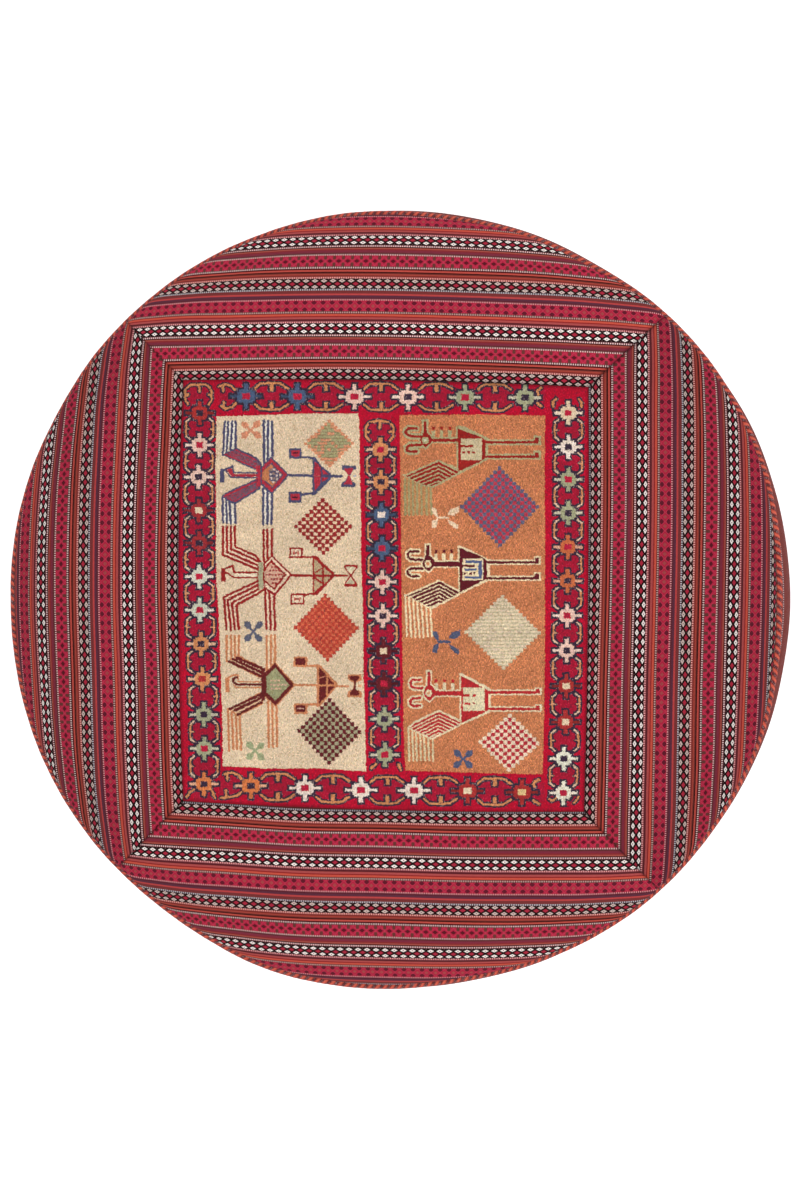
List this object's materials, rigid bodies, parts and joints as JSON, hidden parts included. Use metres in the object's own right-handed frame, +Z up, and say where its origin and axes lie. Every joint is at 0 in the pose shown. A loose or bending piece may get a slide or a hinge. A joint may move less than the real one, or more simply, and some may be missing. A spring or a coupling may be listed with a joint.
{
  "type": "round patchwork pouf",
  "caption": "Round floor pouf with a patchwork woven top, striped side band, piped rims and a zipped base over a foam and fibre insert.",
  "frame": {"origin": "on the floor under the middle of the pouf", "axes": "+Z up, +X right and +Y towards the back when the woven panel is seen from above the right way up"},
  "size_m": [0.6158, 0.6158, 0.36],
  "materials": {
    "rug_panel": "matte",
    "stripe_cloth": "matte",
    "piping_cloth": "matte",
    "cotton_cord": "matte",
    "lining_cloth": "matte",
    "base_canvas": "matte",
    "zip_tape": "matte",
    "zip_teeth": "satin",
    "zip_metal": "satin",
    "thread": "matte",
    "calico": "matte",
    "foam": "matte",
    "fibre": "matte"
  },
  "bodies": {
    "base": {"foam_core": "foam", "insert_bag_side": "calico", "insert_bag_base": "calico", "side_band_1": "stripe_cloth", "side_band_2": "stripe_cloth", "side_band_3": "stripe_cloth", "side_band_4": "stripe_cloth", "bottom_piping_cover": "piping_cloth", "bottom_piping_cord": "cotton_cord", "base_panel_back": "base_canvas", "base_panel_front": "base_canvas", "zip_end_tabs": "base_canvas", "zip_tape_back": "zip_tape", "zip_tape_front": "zip_tape", "zip_teeth_back": "zip_teeth", "zip_teeth_front": "zip_teeth", "zip_end_stops": "zip_metal", "zip_stitching": "thread"},
    "seat": {"centre_panel": "rug_panel", "border_back": "stripe_cloth", "border_front": "stripe_cloth", "border_left": "stripe_cloth", "border_right": "stripe_cloth", "top_lining": "lining_cloth", "top_piping_cover": "piping_cloth", "top_piping_cord": "cotton_cord", "insert_bag_top": "calico", "fibre_topper": "fibre"},
    "zip_slider": {"zip_slider": "zip_metal"},
    "zip_pull": {"zip_pull": "zip_metal"}
  },
  "joints": [
    {"name": "seat_press", "type": "slide", "parent": "base", "child": "seat", "axis": [0, 0, -1], "range_m": [0, 0.045], "stiffness_N_per_m": 14000, "springref_m": -0.0015, "deforming": ["foam_core", "insert_bag_side", "side_band_1", "side_band_2", "side_band_3", "side_band_4"]},
    {"name": "zip_slide", "type": "slide", "parent": "base", "child": "zip_slider", "axis": [-1, 0, 0], "range_m": [0, 0.405]},
    {"name": "zip_pull_hinge", "type": "hinge", "parent": "zip_slider", "child": "zip_pull", "pos_m": [0.206, 0, 0.00275], "axis": [0, -1, 0], "range_deg": [0, 175]}
  ]
}
